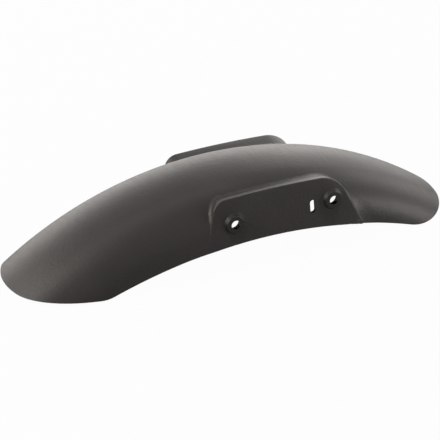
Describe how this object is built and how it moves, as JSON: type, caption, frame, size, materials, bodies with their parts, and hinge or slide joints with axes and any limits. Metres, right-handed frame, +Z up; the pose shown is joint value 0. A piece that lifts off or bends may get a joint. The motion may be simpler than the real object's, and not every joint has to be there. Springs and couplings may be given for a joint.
{
  "type": "motorcycle mudguard",
  "caption": "Arched front mudguard shell with a round crown, deep sides, rounded ends and raised side pads with bolt holes for the fork legs.",
  "frame": {"origin": "middle of the length and the width, on the floor that both pairs of toes rest on", "axes": "+X from the rear tip to the front tip, +Y across the shell along the wheel's axle, +Z up through the crest"},
  "size_m": [0.4058, 0.118, 0.076],
  "materials": {
    "shell": "matte black moulded plastic with a fine grain"
  },
  "bodies": {
    "root": {"mudguard_shell": "shell"}
  },
  "joints": []
}
